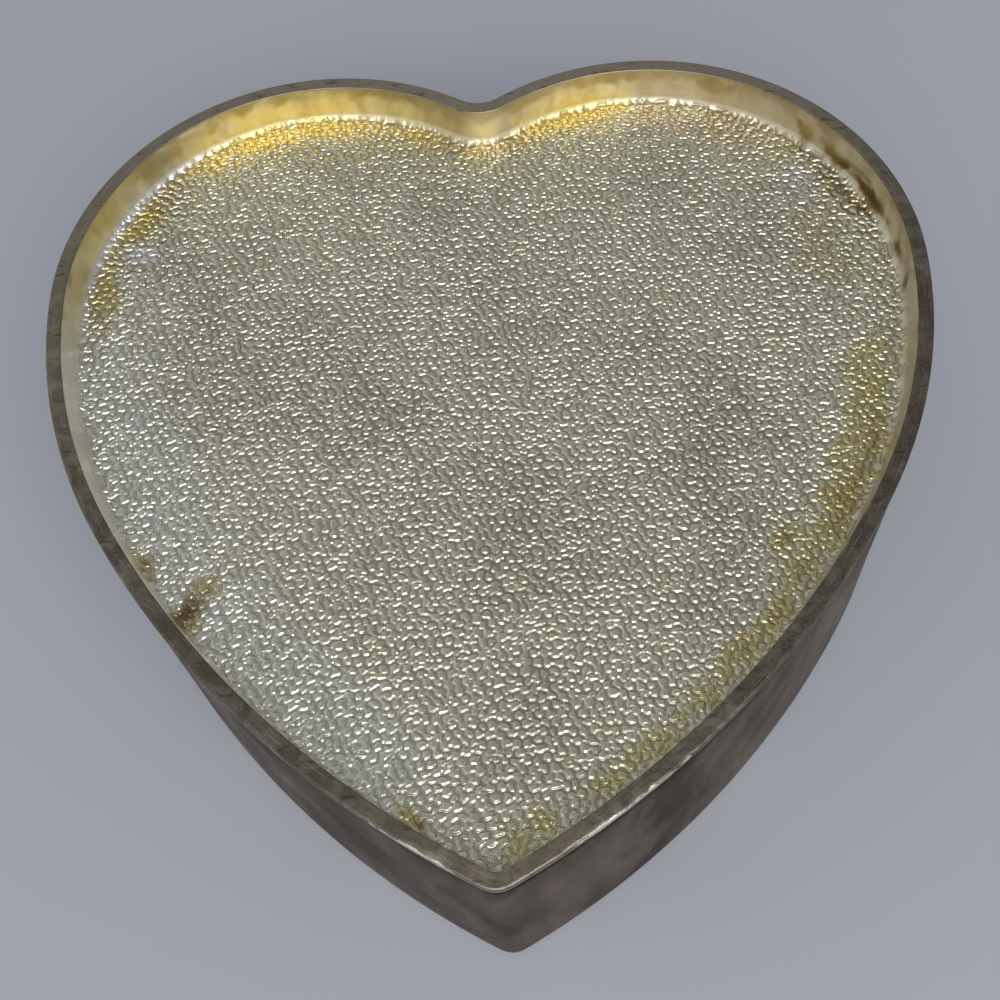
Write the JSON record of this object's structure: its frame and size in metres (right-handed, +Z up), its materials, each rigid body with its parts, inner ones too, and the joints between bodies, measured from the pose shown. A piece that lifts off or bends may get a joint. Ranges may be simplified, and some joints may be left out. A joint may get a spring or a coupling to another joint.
{
  "type": "heart-shaped trinket box",
  "caption": "Heart-shaped silver plated trinket box with a plain upright wall and a lift-off lid whose grained panel is sunk inside a flat rim.",
  "frame": {"origin": "middle of the outline's box, on the underside that the box stands on", "axes": "+Z up, -Y towards the heart's point, +X to the right when the point faces the viewer"},
  "size_m": [0.1, 0.1004, 0.033],
  "materials": {
    "wall_plate": "silver plate gone dull and brown-grey, cloudy, with stains and fine scratches",
    "lid_plate": "bright silver plate with a fine pebbled grain, gold and brown tarnish near its edge, and a dark worn rim"
  },
  "bodies": {
    "root": {"body": "wall_plate", "lid": "lid_plate"}
  },
  "joints": []
}
